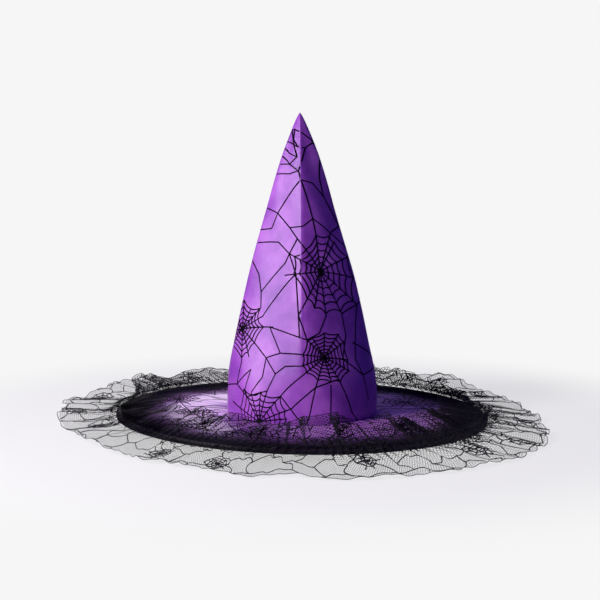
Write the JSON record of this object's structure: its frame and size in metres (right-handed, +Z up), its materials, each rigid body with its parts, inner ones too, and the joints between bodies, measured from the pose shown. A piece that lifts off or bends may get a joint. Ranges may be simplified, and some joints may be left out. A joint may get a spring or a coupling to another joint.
{
  "type": "witch hat",
  "caption": "Pointed costume hat: tall stiffened satin cone crown on a flat wired brim, with a head opening underneath and gathered lace flounces round the brim's edge.",
  "frame": {"origin": "on the surface the hat lies on, straight below the middle of the head opening", "axes": "+Z up through the crown to its tip, -Y towards the hat's front, +X to the wearer's left; the sewn back seam is at +Y"},
  "size_m": [0.622, 0.622, 0.39],
  "materials": {
    "printed_satin": "satin",
    "satin_edges": "satin",
    "stiffener": "matte",
    "black_cloth": "matte",
    "black_tape": "matte",
    "sweatband_ribbon": "ribbed matte",
    "black_thread": "matte",
    "black_lace": "matte open net",
    "label_cloth": "matte",
    "millinery_wire": "drawn",
    "wire_sleeve": "crimped"
  },
  "bodies": {
    "root": {"crown_cover": "printed_satin", "crown_interlining": "stiffener", "back_seam_tape": "black_tape", "brim_top_cover": "printed_satin", "brim_interlining": "stiffener", "brim_under_cover": "black_cloth", "brim_wire": "millinery_wire", "wire_joiner": "wire_sleeve", "brim_binding": "black_tape", "binding_stitching": "black_thread", "head_seam_allowance": "satin_edges", "sweatband": "sweatband_ribbon", "sweatband_stitching": "black_thread", "size_label": "label_cloth", "lace_heading_tape": "black_tape", "gathering_thread": "black_thread", "lace_outer": "black_lace", "lace_inner": "black_lace"}
  },
  "joints": []
}
